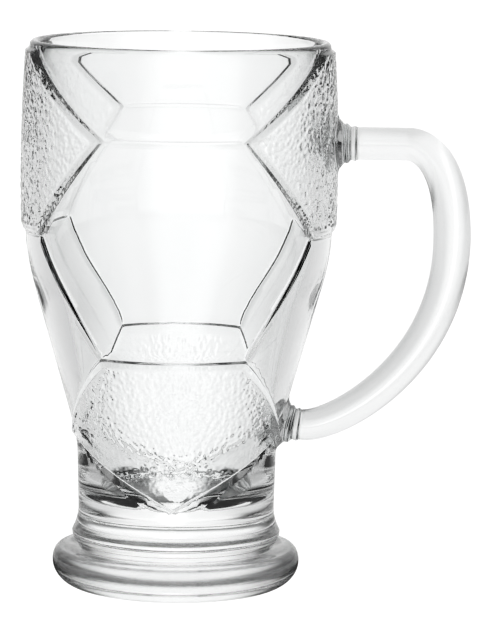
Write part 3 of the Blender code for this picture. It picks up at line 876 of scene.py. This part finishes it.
def glass_material(name, look, roughness):
    """Clear pressed glass with faint streaks, washing marks and ripples."""
    material = bpy.data.materials.new(name)
    material.use_nodes = True
    tree = material.node_tree
    shader = tree.nodes["Principled BSDF"]
    shader.inputs["Metallic"].default_value = 0.0
    shader.inputs["Transmission Weight"].default_value = 1.0
    shader.inputs["IOR"].default_value = look.refraction
    finish = add_node(tree, "ShaderNodeGroup", node_tree=pressed_glass_group())
    finish.inputs["Clear"].default_value = (*look.tint, 1.0)
    finish.inputs["Streak"].default_value = (*look.thick_tint, 1.0)
    finish.inputs["Roughness"].default_value = roughness
    finish.inputs["Wear"].default_value = look.wear
    feed(tree, shader.inputs["Base Color"], finish.outputs["Colour"])
    feed(tree, shader.inputs["Roughness"], finish.outputs["Roughness"])
    bump = add_node(tree, "ShaderNodeBump")
    bump.inputs["Strength"].default_value = 1.0
    bump.inputs["Distance"].default_value = look.ripple
    feed(tree, bump.inputs["Height"], finish.outputs["Ripple"])
    feed(tree, shader.inputs["Normal"], bump.outputs[0])
    return material


def drawn_material(look):
    """The handle's glass: clear at the roots under a dark tint of painted shade, pale and softer along the
    drawn loop.
    """
    material = glass_material("handle_glass", look, look.roughness)
    tree = material.node_tree
    drawn = add_node(tree, "ShaderNodeAttribute", attribute_name="drawn")
    soft = add_node(tree, "ShaderNodeMapRange")
    feed(tree, soft.inputs["Value"], drawn.outputs["Fac"])
    soft.inputs["To Min"].default_value = look.roughness
    soft.inputs["To Max"].default_value = look.drawn_roughness
    # Painted shade: the dark tint at the roots, the clear tint along the drawn loop
    painted_root_shade = add_node(tree, "ShaderNodeMix", data_type="RGBA")
    feed(tree, painted_root_shade.inputs["Factor"], drawn.outputs["Fac"])
    painted_root_shade.inputs["A"].default_value = (*look.root_painted_shade, 1.0)
    painted_root_shade.inputs["B"].default_value = (*look.tint, 1.0)
    finish = next(node for node in tree.nodes if node.type == "GROUP")
    feed(tree, finish.inputs["Roughness"], soft.outputs["Result"])
    feed(tree, finish.inputs["Clear"], painted_root_shade.outputs["Result"])
    return material


def melted_material():
    """Nothing to see: the face inside a seam that is melted together."""
    name = "melted_seam"
    if name in bpy.data.materials:
        return bpy.data.materials[name]
    material = bpy.data.materials.new(name)
    material.use_nodes = True
    material.node_tree.nodes["Principled BSDF"].inputs["Alpha"].default_value = 0.0
    return material


def melt_seam(mesh, bowl):
    """Clears the faces where bowl and foot are melted together."""
    mesh.materials.append(melted_material())
    for face in mesh.polygons:
        at_seam = abs(face.center.z - bowl.seam_level) < MERGE_DISTANCE
        if at_seam and face.center.xy.length < bowl.waist_radius:
            face.material_index = 1


def settle(piece, node):
    """Puts a finished piece in the place of its node."""
    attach(piece, "root")
    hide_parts(node)


class MUG_OT_bowl(bpy.types.Operator):
    """Build the bowl with its raised stippled panels"""

    bl_idname = "mug.bowl"
    bl_label = "Bowl"

    def execute(self, context):
        scene = context.scene
        form = BowlForm(scene.mug_bowl, scene.mug_panels)
        turns = np.linspace(0.0, QUARTER, form.bowl.turn_steps + 1)
        shells = [
            turned(cavity_profile(form), turns),
            wall_sheet(form),
            turned(base_profile(form), turns),
        ]
        mesh = closed_mesh("mug_bowl", mirrored_quarters(shells))
        mark_points(mesh, "stipple", stipple_mask(mesh_points(mesh), form, scene.mug_handle))
        piece = new_piece("mug_bowl", mesh)
        material = glass_material("bowl_glass", scene.mug_glass, scene.mug_glass.roughness)
        pits = piece.modifiers.new("stipple", "NODES")
        pits.node_group = stipple_tree(material)
        values = {"Depth": form.panels.stipple_depth, "Grain": form.panels.stipple_grain}
        for socket in pits.node_group.interface.items_tree:
            if socket.in_out == "INPUT" and socket.name in values:
                pits[socket.identifier] = values[socket.name]
        melt_seam(worked_in(piece).data, form.bowl)
        settle(piece, "bowl")
        return {"FINISHED"}


def foot_profile(foot, bowl):
    """From the seam, over the top and round the edge to the middle of the underside."""
    points = [(0.0, bowl.seam_level)]
    points += [(bowl.waist_radius, level) for level in (bowl.seam_level, foot.thickness)]
    shoulder = (foot.radius - foot.top_radius, foot.thickness - foot.widest_level)
    points += arc((foot.top_radius, foot.widest_level), shoulder, 90, 0, foot.arc_steps)
    heel = (foot.radius - foot.bearing_radius, foot.widest_level)
    points += arc((foot.bearing_radius, foot.widest_level), heel, 0, -90, foot.arc_steps)[1:]
    return points + [(0.0, 0.0)]


class MUG_OT_foot(bpy.types.Operator):
    """Build the round foot under the bowl"""

    bl_idname = "mug.foot"
    bl_label = "Foot"

    def execute(self, context):
        foot = context.scene.mug_foot
        turns = np.linspace(0.0, 2 * pi, foot.turn_steps + 1)
        bowl = context.scene.mug_bowl
        mesh = closed_mesh("mug_foot", [turned(foot_profile(foot, bowl), turns)])
        look = context.scene.mug_glass
        mesh.materials.append(glass_material("foot_glass", look, look.foot_roughness))
        melt_seam(mesh, bowl)
        settle(new_piece("mug_foot", mesh), "foot")
        return {"FINISHED"}


def bezier(start, start_pull, end_pull, end, steps):
    share = np.linspace(0.0, 1.0, steps + 1)[:, None]
    rest = 1 - share
    return (
        start * rest**3 + 3 * start_pull * rest**2 * share + 3 * end_pull * rest * share**2 + end * share**3
    )


class HandleForm:
    """The handle's middle line in the upright plane through the axis, and its section."""

    def __init__(self, handle, form):
        self.handle = handle
        self.form = form
        self.upper_out = np.array([1.0, 0.0])
        self.lower_out = np.array([cos(handle.lower_slope), sin(handle.lower_slope)])
        self.upper_wall = np.array([float(form.outer(handle.upper_level)), handle.upper_level])
        self.lower_wall = np.array([float(form.outer(handle.lower_level)), handle.lower_level])
        self.upper_wall[0] += form.panels.rise

    def limb(self):
        """Points of the middle line between the two roots, with the thickness at each."""
        handle = self.handle
        start = self.upper_wall + self.upper_out * handle.root_length
        end = self.lower_wall + self.lower_out * handle.root_length
        bend = np.array([handle.reach - handle.upper_bend, handle.upper_level])
        widest = np.array([handle.reach, handle.widest_level])
        arm = np.linspace(start, bend, handle.root_spans, endpoint=False)
        turn = bezier(
            bend, bend + (handle.bend_pull, 0), widest + (0, handle.limb_pull_up), widest, handle.spans // 3
        )
        lower = bezier(
            widest,
            widest - (0, handle.limb_pull_down),
            end + self.lower_out * handle.lower_pull,
            end,
            handle.spans,
        )
        sizes = np.concatenate([
            np.full(len(arm), handle.upper_thickness),
            np.linspace(handle.upper_thickness, handle.thickness, len(turn))[:-1],
            np.linspace(handle.thickness, handle.lower_thickness, len(lower)),
        ])
        return np.concatenate([arm, turn[:-1], lower]), sizes / 2

    def ring(self, middle, along, half):
        """One oval section across the middle line."""
        turns = np.linspace(0.0, 2 * pi, self.handle.sides, endpoint=False)
        across = np.array([-along[1], along[0]])
        level = middle + np.outer(np.cos(turns) * half, across)
        depth = np.sin(turns) * half * self.handle.width / self.handle.thickness
        return np.stack([level[:, 0], depth, level[:, 1]], axis=1)

    def to_wall(self, ring, out):
        """How far each point of a section lies from the bowl, back along the root."""
        direction = np.array([out[0], 0.0, out[1]])
        low = np.full(len(ring), -WALL_SEARCH)
        high = np.full(len(ring), WALL_SEARCH)
        for _ in range(WALL_SEARCH_STEPS):
            middle = (low + high) / 2
            places = ring + direction * middle[:, None]
            radius = np.hypot(places[:, 0], places[:, 1])
            inside = radius < self.form.wall_at(places) + self.handle.root_gap
            low = np.where(inside, middle, low)
            high = np.where(inside, high, middle)
        return ring + direction * high[:, None]

    def root(self, wall, out, half):
        """Rings from the middle of the root's seat out to where the limb begins."""
        handle = self.handle
        rings = []
        swollen = half + handle.root_flare
        for share in np.linspace(0.0, 1.0, handle.root_spans // 2, endpoint=False):
            rings.append(self.to_wall(self.ring(wall, out, swollen * max(share, SHORTEST_SHARE)), out))
        for share in np.linspace(0.0, 1.0, handle.root_spans, endpoint=False):
            flare = handle.root_flare * (1 - np.sqrt(1 - (1 - share) ** 2))
            flare += handle.root_ripple * sin(2 * pi * handle.root_ripples * share) * sin(pi * share)
            ring = self.ring(wall, out, half + flare)
            seat = self.to_wall(ring, out)
            step = np.array([out[0], 0.0, out[1]]) * handle.root_length * share
            rings.append((seat + step) * (1 - share) + (ring + step) * share)
        return rings

    def rings(self):
        middles, halves = self.limb()
        along = np.gradient(middles, axis=0)
        along /= np.linalg.norm(along, axis=1)[:, None]
        along[0], along[-1] = self.upper_out, -self.lower_out
        limb = [self.ring(*section) for section in zip(middles, along, halves)]
        upper = self.root(self.upper_wall, self.upper_out, halves[0])
        lower = self.root(self.lower_wall, self.lower_out, halves[-1])
        flipped = [self.facing_back(ring) for ring in lower]
        return upper + limb + flipped[::-1]

    def facing_back(self, ring):
        """The same section with its points in the order of a line that runs the other way."""
        half = self.handle.sides // 2
        return np.roll(ring[::-1], half + 1, axis=0)


class MUG_OT_handle(bpy.types.Operator):
    """Build the loop handle with its swollen roots"""

    bl_idname = "mug.handle"
    bl_label = "Handle"

    def execute(self, context):
        scene = context.scene
        form = BowlForm(scene.mug_bowl, scene.mug_panels)
        handle = HandleForm(scene.mug_handle, form)
        rings = handle.rings()
        sides = scene.mug_handle.sides
        faces = [
            (row * sides + step, row * sides + (step + 1) % sides,
             (row + 1) * sides + (step + 1) % sides, (row + 1) * sides + step)
            for row in range(len(rings) - 1)
            for step in range(sides)
        ]
        mesh = closed_mesh("mug_handle", [(np.concatenate(rings), faces)])
        points = mesh_points(mesh)
        past_wall = points[:, 0] - form.wall(np.full(len(points), QUARTER), points[:, 2])
        half_root = scene.mug_handle.root_length / 2
        # Share of the drawn loop past the roots: softer glass along the loop, and painted shade at the roots
        # where it is nothing
        mark_points(mesh, "drawn", np.clip(past_wall / half_root - 1, 0.0, 1.0))
        mesh.materials.append(drawn_material(scene.mug_glass))
        settle(new_piece("mug_handle", mesh), "handle")
        return {"FINISHED"}


def floor_material(studio):
    """A pale floor with a soft painted glow, white to the camera, and painted light and shade where it is
    seen through the glass.
    """
    material = bpy.data.materials.new("pale_floor")
    material.use_nodes = True
    tree = material.node_tree
    shader = tree.nodes["Principled BSDF"]
    shader.inputs["Roughness"].default_value = FLOOR_ROUGHNESS
    # The floor's glow is painted light, not a lamp
    shader.inputs["Emission Strength"].default_value = studio.floor_glow
    place = add_node(tree, "ShaderNodeTexCoord")
    grain = add_node(tree, "ShaderNodeTexNoise")
    grain.inputs["Scale"].default_value = FLOOR_GRAIN
    feed(tree, grain.inputs["Vector"], place.outputs["Object"])
    mixed = add_node(tree, "ShaderNodeMix", data_type="RGBA")
    feed(tree, mixed.inputs["Factor"], grain.outputs["Fac"])
    mixed.inputs["A"].default_value = (*studio.floor_colour, 1.0)
    mixed.inputs["B"].default_value = (*[value * FLOOR_GRAIN_SHARE for value in studio.floor_colour], 1.0)
    feed(tree, shader.inputs["Base Color"], mixed.outputs["Result"])
    heading = add_node(tree, "ShaderNodeVectorMath", operation="NORMALIZE")
    feed(tree, heading.inputs[0], place.outputs["Object"])
    around = toward_back(tree, heading.outputs[0])
    distance = add_node(tree, "ShaderNodeVectorMath", operation="LENGTH")
    feed(tree, distance.inputs[0], place.outputs["Object"])
    # Painted shade under the foot, blended out to painted light and shade by direction over the rest of the
    # floor
    glow = add_node(tree, "ShaderNodeMix", data_type="RGBA")
    feed(tree, glow.inputs["Factor"], tone_ramp(tree, distance.outputs["Value"], FOOT_SHADE))
    feed(tree, glow.inputs["A"], tone_ramp(tree, around, UNDER_FOOT_PAINTED_SHADE))
    feed(tree, glow.inputs["B"], tone_ramp(tree, around, FLOOR_PAINTED_LIGHT_AND_SHADE))
    # Painted contact shadow in a ring round the foot
    shaded = add_node(tree, "ShaderNodeVectorMath", operation="MULTIPLY")
    feed(tree, shaded.inputs[0], glow.outputs["Result"])
    feed(tree, shaded.inputs[1], tone_ramp(tree, distance.outputs["Value"], CONTACT_SHADE))
    seen = add_node(tree, "ShaderNodeLightPath")
    shown = add_node(tree, "ShaderNodeMix", data_type="RGBA")
    feed(tree, shown.inputs["Factor"], seen.outputs["Is Camera Ray"])
    feed(tree, shown.inputs["A"], shaded.outputs[0])
    shown.inputs["B"].default_value = (*[1 / studio.floor_glow] * 3, 1.0)
    feed(tree, shader.inputs["Emission Color"], shown.outputs["Result"])
    return material


def toward_back(tree, heading):
    """From nothing in front of the mug to one behind it, by the compass direction alone."""
    parts = add_node(tree, "ShaderNodeSeparateXYZ")
    feed(tree, parts.inputs[0], heading)
    ahead = parts.outputs["Y"]
    aside = maths(tree, "MULTIPLY_ADD", ahead, BACK_SLANT, parts.outputs["X"])
    squares = maths(tree, "ADD", maths(tree, "POWER", aside, 2.0), maths(tree, "POWER", ahead, 2.0))
    flat = maths(tree, "SQRT", squares)
    back = maths(tree, "DIVIDE", ahead, maths(tree, "MAXIMUM", flat, 0.001))
    turn = maths(tree, "ARCCOSINE", back)
    return maths(tree, "SUBTRACT", 1.0, maths(tree, "DIVIDE", turn, pi))


def tone_ramp(tree, value, tones):
    """Greys along a value, eased from one to the next."""
    ramp = add_node(tree, "ShaderNodeValToRGB")
    ramp.color_ramp.interpolation = "EASE"
    while len(ramp.color_ramp.elements) < len(tones):
        ramp.color_ramp.elements.new(0.5)
    for element, (stop, tone) in zip(ramp.color_ramp.elements, tones):
        element.position = stop
        element.color = (tone, tone, tone, 1.0)
    feed(tree, ramp.inputs["Fac"], value)
    return ramp.outputs["Color"]


def tent_of_light(studio):
    """A white sheet behind, dim gaps beside it, soft boxes in front and a bright top."""
    world = bpy.data.worlds.new("tent_of_light")
    world.use_nodes = True
    tree = world.node_tree
    background = tree.nodes["Background"]
    place = add_node(tree, "ShaderNodeTexCoord")
    parts = add_node(tree, "ShaderNodeSeparateXYZ")
    feed(tree, parts.inputs[0], place.outputs["Generated"])
    around = toward_back(tree, place.outputs["Generated"])
    gap = add_node(tree, "ShaderNodeMix", data_type="RGBA")
    feed(tree, gap.inputs["Factor"], tone_ramp(tree, parts.outputs["Z"], ABOVE_GAP))
    feed(tree, gap.inputs["A"], tone_ramp(tree, around, GAP_TONES))
    gap.inputs["B"].default_value = WHITE
    low = add_node(tree, "ShaderNodeVectorMath", operation="MULTIPLY")
    feed(tree, low.inputs[0], tone_ramp(tree, around, TENT_TONES))
    feed(tree, low.inputs[1], gap.outputs["Result"])
    high = tone_ramp(tree, parts.outputs["Z"], TOP_TONES)
    tent = add_node(tree, "ShaderNodeMix", data_type="RGBA")
    feed(tree, tent.inputs["Factor"], high)
    feed(tree, tent.inputs["A"], low.outputs[0])
    tent.inputs["B"].default_value = WHITE
    seen = add_node(tree, "ShaderNodeLightPath")
    shown = add_node(tree, "ShaderNodeMix", data_type="RGBA")
    feed(tree, shown.inputs["Factor"], seen.outputs["Is Camera Ray"])
    feed(tree, shown.inputs["A"], tent.outputs["Result"])
    shown.inputs["B"].default_value = WHITE
    feed(tree, background.inputs["Color"], shown.outputs["Result"])
    background.inputs["Strength"].default_value = studio.sky_strength
    return world


def studio_camera(studio):
    camera = bpy.data.cameras.new("camera")
    camera.sensor_fit = "VERTICAL"
    camera.sensor_height = SENSOR_HEIGHT_MM
    camera.lens = studio.focal_px * camera.sensor_height / IMAGE_HEIGHT_PX
    made = bpy.data.objects.new("camera", camera)
    bpy.context.scene.collection.objects.link(made)
    place = Vector((studio.camera_side, -studio.camera_distance, studio.camera_level))
    aim = Vector((studio.camera_side, 0.0, studio.aim_level))
    facing = (aim - place).to_track_quat("-Z", "Y").to_matrix().to_4x4()
    roll = Matrix.Rotation(studio.camera_roll, 4, "Z")
    about_axis = Matrix.Rotation(studio.camera_turn, 4, "Z")
    made.matrix_world = about_axis @ Matrix.Translation(place) @ facing @ roll
    bpy.context.scene.camera = made


def print_tones(view):
    """A hard print: deep blacks, and whites that leave no grey in the paper."""
    view.use_curve_mapping = True
    curve = view.curve_mapping.curves[3]
    while len(curve.points) < len(PRINT_TONES):
        curve.points.new(0.5, 0.5)
    for point, place in zip(curve.points, PRINT_TONES):
        point.location = place
        point.handle_type = "VECTOR"
    view.curve_mapping.update()


class MUG_OT_stage(bpy.types.Operator):
    """Set the pale floor, the soft light and the camera"""

    bl_idname = "mug.stage"
    bl_label = "Stage"

    def execute(self, context):
        scene = context.scene
        studio = scene.mug_studio
        shape = bmesh.new()
        bmesh.ops.create_circle(shape, cap_ends=True, segments=FLOOR_SIDES, radius=studio.floor_radius)
        bmesh.ops.translate(shape, verts=shape.verts, vec=(0.0, 0.0, -studio.floor_gap))
        mesh = bpy.data.meshes.new("floor")
        shape.to_mesh(mesh)
        shape.free()
        mesh.materials.append(floor_material(studio))
        new_piece("floor", mesh)
        scene.world = tent_of_light(studio)
        studio_camera(studio)
        scene.view_settings.view_transform = "Standard"
        print_tones(scene.view_settings)
        scene.cycles.max_bounces = LIGHT_BOUNCES
        scene.cycles.transmission_bounces = LIGHT_BOUNCES
        scene.cycles.glossy_bounces = MIRROR_BOUNCES
        scene.cycles.transparent_max_bounces = LIGHT_BOUNCES
        return {"FINISHED"}


class MUG_PT_panel(bpy.types.Panel):
    """The mug's building steps"""

    bl_idname = "MUG_PT_panel"
    bl_label = "Beer mug"
    bl_space_type = "VIEW_3D"
    bl_region_type = "UI"
    bl_category = "Mug"

    def draw(self, context):
        for operator in OPERATORS:
            self.layout.operator(operator.bl_idname)


OPERATORS = (MUG_OT_bowl, MUG_OT_foot, MUG_OT_handle, MUG_OT_stage)
SETTINGS = {
    "mug_bowl": BowlSizes,
    "mug_panels": PanelSizes,
    "mug_foot": FootSizes,
    "mug_handle": HandleSizes,
    "mug_glass": GlassLook,
    "mug_studio": StudioLook,
}


def register():
    for group in (*SETTINGS.values(), *OPERATORS, MUG_PT_panel):
        bpy.utils.register_class(group)
    for name, group in SETTINGS.items():
        setattr(bpy.types.Scene, name, PointerProperty(type=group))


def unregister():
    for name in SETTINGS:
        delattr(bpy.types.Scene, name)
    for group in (MUG_PT_panel, *reversed(OPERATORS), *SETTINGS.values()):
        bpy.utils.unregister_class(group)


def main():
    register()
    bpy.ops.mug.bowl()
    bpy.ops.mug.foot()
    bpy.ops.mug.handle()
    bpy.ops.mug.stage()


if __name__ == "__main__":
    main()
